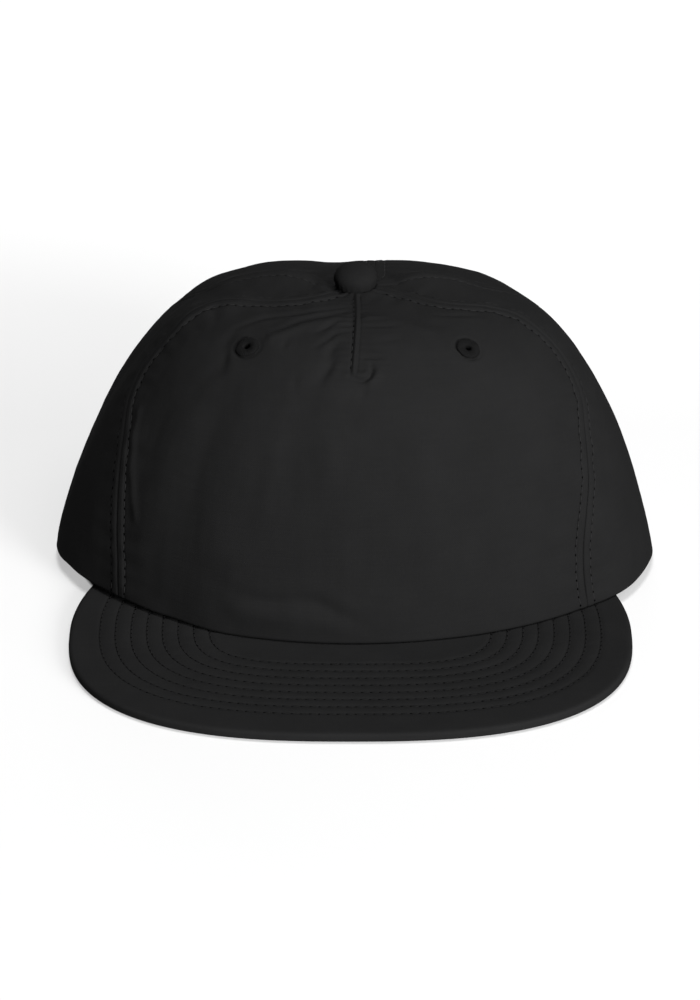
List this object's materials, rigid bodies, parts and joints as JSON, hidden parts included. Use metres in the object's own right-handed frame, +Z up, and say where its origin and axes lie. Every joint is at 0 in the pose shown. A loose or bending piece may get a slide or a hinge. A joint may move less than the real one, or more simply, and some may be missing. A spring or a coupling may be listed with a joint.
{
  "type": "surf cap with a flat stitched peak",
  "caption": "Soft cloth cap with a wide front panel darted at the top, a flat row-stitched peak, a covered button, stitched eyelets and an adjustable strap across the rear arch.",
  "frame": {"origin": "middle of the cap's footprint, on the ground that its hem and peak lie on", "axes": "+Z up, the peak towards -Y, +X to the right as seen from the front"},
  "size_m": [0.2107, 0.2391, 0.1085],
  "materials": {
    "crown_cloth": "thin plain-woven nylon, matt black with a slight sheen",
    "peak_cloth": "the same nylon drawn tight over the peak's board",
    "thread": "black stitching thread with a soft shine",
    "band_cloth": "matt black brushed cloth",
    "webbing": "black ribbed webbing",
    "plastic": "satin black moulded plastic"
  },
  "bodies": {
    "root": {"front_panel": "crown_cloth", "side_panel_left": "crown_cloth", "side_panel_right": "crown_cloth", "back_panel_left": "crown_cloth", "back_panel_right": "crown_cloth", "peak": "peak_cloth", "button": "crown_cloth", "eyelet_left": "thread", "eyelet_right": "thread", "sweatband": "band_cloth", "strap": "webbing", "strap_slider": "plastic"}
  },
  "joints": []
}
